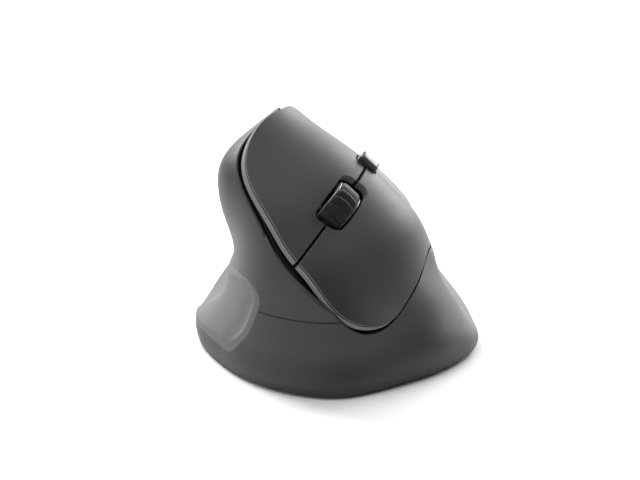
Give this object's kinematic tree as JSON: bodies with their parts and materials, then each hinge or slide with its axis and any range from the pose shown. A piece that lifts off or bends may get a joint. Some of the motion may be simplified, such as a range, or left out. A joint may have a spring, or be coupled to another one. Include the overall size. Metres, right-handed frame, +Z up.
{
  "type": "vertical computer mouse",
  "caption": "Left-handed upright cordless computer mouse with a tilted finger face, split keys, scroll wheel, thumb rest and side buttons.",
  "frame": {"origin": "on the desk, below the middle of the body, at the level that the feet stand on", "axes": "+Z up, -Y toward the nose, +X toward the finger side, -X toward the thumb side"},
  "size_m": [0.0878, 0.1009, 0.0679],
  "materials": {
    "shell": "fine matte texture",
    "grip": "soft matte rubber",
    "key": "fine matte texture",
    "button": "satin",
    "frame": "plain moulded black",
    "floor": "moulded",
    "tyre": "ribbed rubber",
    "hub": "moulded",
    "steel": "plated",
    "contact": "nickel plated",
    "switch": "moulded",
    "board": "solder mask",
    "lens": "clear moulded",
    "cell": "printed sleeve",
    "skate": "low-friction sheet"
  },
  "bodies": {
    "chassis": {"lower_shell": "shell", "upper_shell": "shell", "palm_cover": "shell", "thumb_panel": "grip", "key_frame": "frame", "base_plate": "floor", "battery_tray": "frame", "receiver_socket": "frame", "case_screws": "steel", "frame_screws": "steel", "battery_contact": "contact", "battery_spring": "contact", "index_switch": "switch", "middle_switch": "switch", "wheel_switch": "switch", "dpi_switch": "switch", "forward_switch": "switch", "back_switch": "switch", "encoder": "switch", "power_switch": "switch", "radio_chip": "switch", "crystal": "contact", "sensor_chip": "switch", "sensor_lens": "lens", "switch_board": "board", "side_board": "board", "main_board": "board", "battery": "cell", "foot_front": "skate", "foot_rear": "skate", "foot_thumb": "skate", "foot_finger": "skate", "foot_sensor": "skate"},
    "index_button": {"index_key": "key"},
    "middle_button": {"middle_key": "key"},
    "wheel_cradle": {"wheel_carrier": "frame"},
    "wheel": {"wheel_tyre": "tyre", "wheel_hub": "hub", "wheel_axle": "steel"},
    "speed_button": {"dpi_button": "button"},
    "forward_key": {"forward_button": "button"},
    "back_key": {"back_button": "button"},
    "power_slider": {"power_knob": "floor"},
    "cell_door": {"battery_door": "floor"},
    "dongle": {"receiver_head": "floor", "receiver_plug": "contact"}
  },
  "joints": [
    {"name": "index_press", "type": "hinge", "parent": "chassis", "child": "index_button", "pos_m": [0.00134, 0.007, 0.05278], "axis": [0.7071, 0, -0.7071], "range_deg": [0, 1.2], "stiffness_Nm_per_rad": 0.9, "springref_deg": -0.57},
    {"name": "middle_press", "type": "hinge", "parent": "chassis", "child": "middle_button", "pos_m": [0.01742, 0.007, 0.04057], "axis": [0.7071, 0, -0.7071], "range_deg": [0, 1.2], "stiffness_Nm_per_rad": 0.9, "springref_deg": -0.57},
    {"name": "wheel_press", "type": "slide", "parent": "chassis", "child": "wheel_cradle", "axis": [-0.7071, 0, -0.7071], "range_m": [0, 0.0008], "stiffness_N_per_m": 900, "springref_m": -0.001},
    {"name": "wheel_roll", "type": "hinge", "parent": "wheel_cradle", "child": "wheel", "pos_m": [0.0081, -0.0214, 0.04285], "axis": [0.6797, 0.2756, -0.6797], "continuous": true},
    {"name": "speed_press", "type": "slide", "parent": "chassis", "child": "speed_button", "axis": [-0.7071, 0, -0.7071], "range_m": [0, 0.0005], "stiffness_N_per_m": 900, "springref_m": -0.0008},
    {"name": "forward_press", "type": "slide", "parent": "chassis", "child": "forward_key", "axis": [1, 0, 0], "range_m": [0, 0.0005], "stiffness_N_per_m": 900, "springref_m": -0.0008},
    {"name": "back_press", "type": "slide", "parent": "chassis", "child": "back_key", "axis": [1, 0, 0], "range_m": [0, 0.0005], "stiffness_N_per_m": 900, "springref_m": -0.0008},
    {"name": "power_slide", "type": "slide", "parent": "chassis", "child": "power_slider", "axis": [0, 1, 0], "range_m": [0, 0.0032]},
    {"name": "door_pull", "type": "slide", "parent": "chassis", "child": "cell_door", "axis": [0, 0, -1], "range_m": [0, 0.02]},
    {"name": "dongle_pull", "type": "slide", "parent": "chassis", "child": "dongle", "axis": [0, 0, -1], "range_m": [0, 0.0195]}
  ]
}
